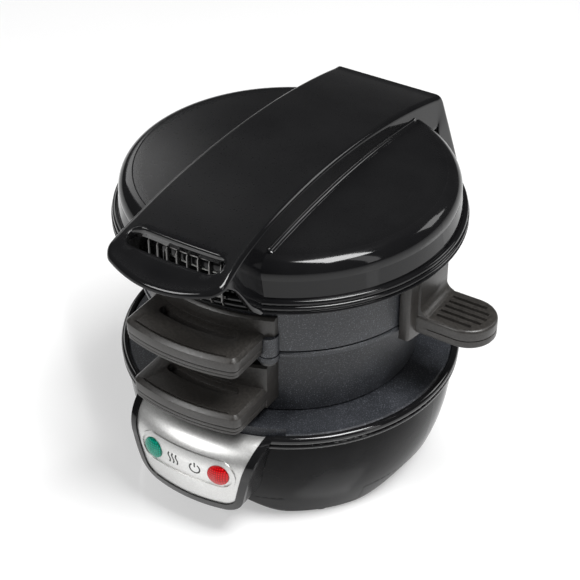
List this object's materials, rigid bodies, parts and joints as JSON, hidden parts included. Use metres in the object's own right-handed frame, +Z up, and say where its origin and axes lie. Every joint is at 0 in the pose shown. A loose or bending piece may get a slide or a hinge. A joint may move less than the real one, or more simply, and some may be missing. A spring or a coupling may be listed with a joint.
{
  "type": "breakfast sandwich maker",
  "caption": "Round countertop sandwich cooker with a heated base, hinged cooking rings, a swing-out egg plate between them and a domed heated cover under a broad strap handle.",
  "frame": {"origin": "on the table under the middle of the object's outer box", "axes": "+Z up, the control panel and front handles face -Y, the cooking plate's side handle points to +X"},
  "size_m": [0.17, 0.1894, 0.1505],
  "materials": {
    "satin_black_housing": "satin black moulded resin",
    "gloss_black_cover": "high-gloss black moulded resin",
    "charcoal_phenolic": "fine-grained charcoal phenolic",
    "silver_panel": "brushed silver sheet",
    "green_lens": "clear green lens",
    "red_lens": "clear red lens",
    "lamp_glass": "clear lamp glass",
    "nonstick_casting": "dark blue-grey speckled non-stick coating",
    "bright_steel": "turned and plated steel",
    "shield_sheet": "aluminised sheet steel",
    "element_sheath": "heat-tinted tube sheath",
    "white_ceramic": "glazed ceramic",
    "wire_sleeve": "glass-braid sleeve",
    "black_rubber": "matt rubber"
  },
  "bodies": {
    "base": {"base_housing": "satin_black_housing", "base_rim_ring": "gloss_black_cover", "control_bezel": "gloss_black_cover", "control_panel": "silver_panel", "ready_lens": "green_lens", "power_lens": "red_lens", "lamp_board": "white_ceramic", "indicator_lamps": "lamp_glass", "lower_hot_plate": "nonstick_casting", "lower_heating_element": "element_sheath", "lower_heat_shield": "shield_sheet", "lower_plate_screws": "bright_steel", "lower_thermostat": "white_ceramic", "thermal_cutout": "bright_steel", "terminal_block": "white_ceramic", "base_wiring": "wire_sleeve", "bottom_cover": "satin_black_housing", "bottom_cover_screws": "bright_steel", "rubber_feet": "black_rubber", "hinge_tower": "satin_black_housing", "hinge_tower_screws": "bright_steel", "cord_gland": "black_rubber", "hinge_pin": "bright_steel", "hinge_pin_clip": "bright_steel"},
    "lower_ring_body": {"lower_ring": "nonstick_casting", "lower_ring_handle": "charcoal_phenolic", "lower_handle_screws": "bright_steel"},
    "upper_ring_body": {"upper_ring": "nonstick_casting", "upper_ring_handle": "charcoal_phenolic", "upper_handle_screws": "bright_steel", "plate_pivot_pin": "bright_steel"},
    "cooking_plate_body": {"cooking_plate": "nonstick_casting", "cooking_plate_handle": "charcoal_phenolic", "cooking_plate_screws": "bright_steel"},
    "cover": {"cover_shell": "gloss_black_cover", "cover_trim_band": "satin_black_housing", "cover_strap_handle": "satin_black_housing", "cover_hinge_bracket": "satin_black_housing", "hinge_bracket_screws": "bright_steel", "steam_vent_comb": "gloss_black_cover", "cover_liner": "satin_black_housing", "upper_hot_plate": "nonstick_casting", "upper_heating_element": "element_sheath", "upper_heat_shield": "shield_sheet", "upper_plate_screws": "bright_steel", "upper_thermostat": "white_ceramic", "cover_liner_screws": "bright_steel", "strap_screws": "bright_steel", "cover_wiring": "wire_sleeve"}
  },
  "joints": [
    {"name": "lower_ring_hinge", "type": "hinge", "parent": "base", "child": "lower_ring_body", "pos_m": [-0.011, 0.0863, 0.092], "axis": [-1, 0, 0], "range_deg": [0, 20]},
    {"name": "upper_ring_hinge", "type": "hinge", "parent": "lower_ring_body", "child": "upper_ring_body", "pos_m": [-0.011, 0.0863, 0.092], "axis": [-1, 0, 0], "range_deg": [0, 25]},
    {"name": "cover_hinge", "type": "hinge", "parent": "upper_ring_body", "child": "cover", "pos_m": [-0.011, 0.0863, 0.092], "axis": [-1, 0, 0], "range_deg": [0, 60]},
    {"name": "cooking_plate_swing", "type": "hinge", "parent": "upper_ring_body", "child": "cooking_plate_body", "pos_m": [0.01498, -0.05564, 0.0888], "axis": [0, 0, -1], "range_deg": [0, 110]}
  ]
}
